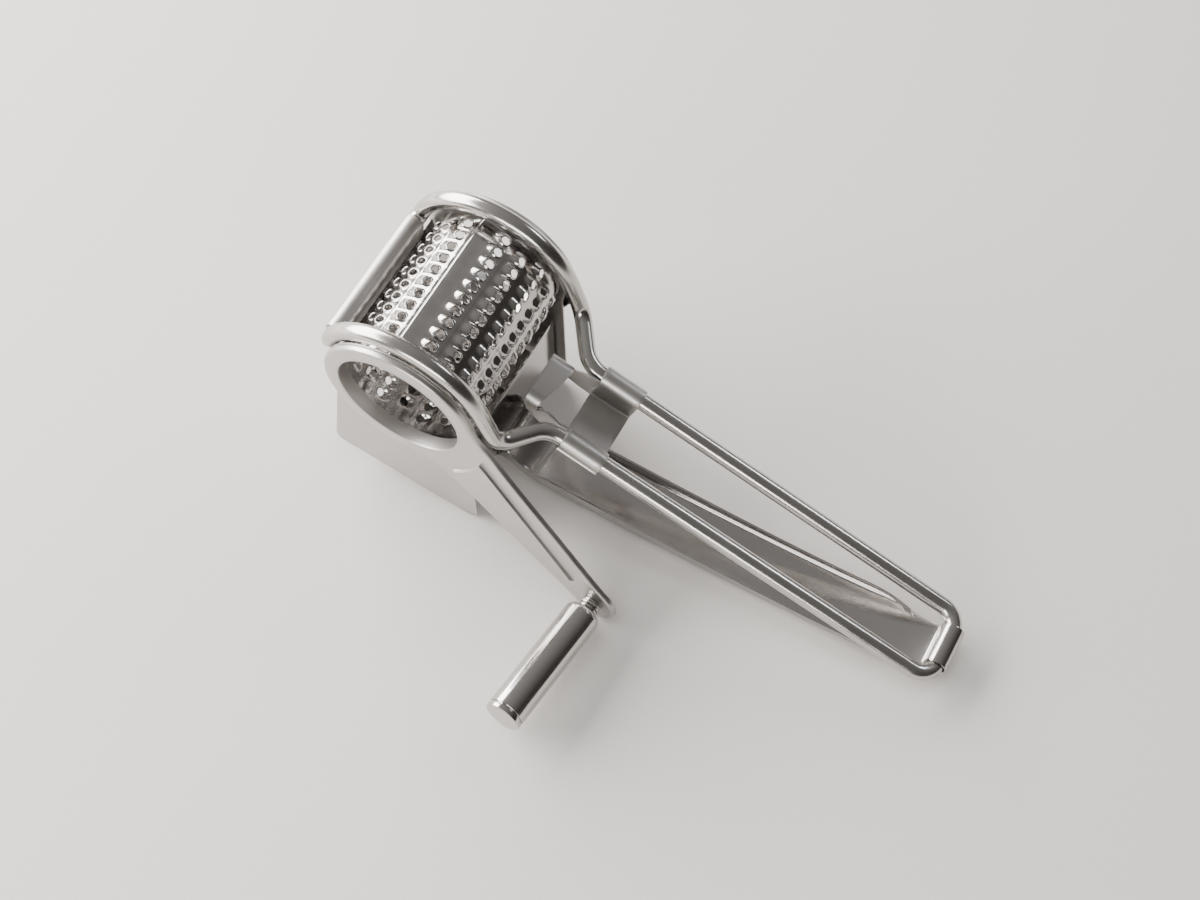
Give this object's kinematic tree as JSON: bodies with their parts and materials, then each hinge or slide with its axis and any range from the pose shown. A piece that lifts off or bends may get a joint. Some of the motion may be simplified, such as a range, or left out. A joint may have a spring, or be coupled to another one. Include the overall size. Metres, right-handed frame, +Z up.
{
  "type": "rotary cheese grater",
  "caption": "Hand-cranked rotary cheese grater: a punched steel drum between two side plates, a wire handle, a press lever hinged at its end and a side crank with a turning grip.",
  "frame": {"origin": "on the table, under the middle of the overall box", "axes": "+X back along the handle to the hanging loop, +Y to the side away from the crank, +Z up"},
  "size_m": [0.2294, 0.1312, 0.1007],
  "materials": {
    "polished_wire": "mirror-polished stainless wire",
    "satin_sheet": "satin stainless sheet",
    "polished_sheet": "polished stainless sheet",
    "drum_sheet": "bright punched stainless sheet",
    "crank_sheet": "satin stainless sheet with bright edges",
    "turned_steel": "bright turned stainless steel",
    "grip_steel": "polished stainless tube",
    "lever_sheet": "bright rolled stainless sheet"
  },
  "bodies": {
    "frame": {"drum_hoop": "polished_wire", "handle_loop": "polished_wire", "neck_bracket": "satin_sheet", "cheek_near": "satin_sheet", "cheek_far": "satin_sheet", "front_wall": "polished_sheet"},
    "drum": {"drum_shell": "drum_sheet", "drum_ring_far": "drum_sheet", "crank_plate": "crank_sheet", "grip_pin": "turned_steel", "collar_inner": "turned_steel", "collar_middle": "turned_steel", "collar_outer": "turned_steel"},
    "grip": {"grip_tube": "grip_steel", "grip_cap": "grip_steel"},
    "lever": {"press_lever": "lever_sheet", "press_plate": "lever_sheet", "press_rivets": "turned_steel"}
  },
  "joints": [
    {"name": "drum_spin", "type": "hinge", "parent": "frame", "child": "drum", "pos_m": [-0.08129, 0.03062, 0.0673], "axis": [0, -1, 0], "continuous": true},
    {"name": "grip_spin", "type": "hinge", "parent": "drum", "child": "grip", "pos_m": [-0.00382, -0.0132, 0.00892], "axis": [-0.1042, -0.9914, 0.0786], "continuous": true},
    {"name": "lever_press", "type": "hinge", "parent": "frame", "child": "lever", "pos_m": [0.10901, 0.03062, 0.00903], "axis": [0, 1, 0], "range_deg": [-40, 8]}
  ]
}
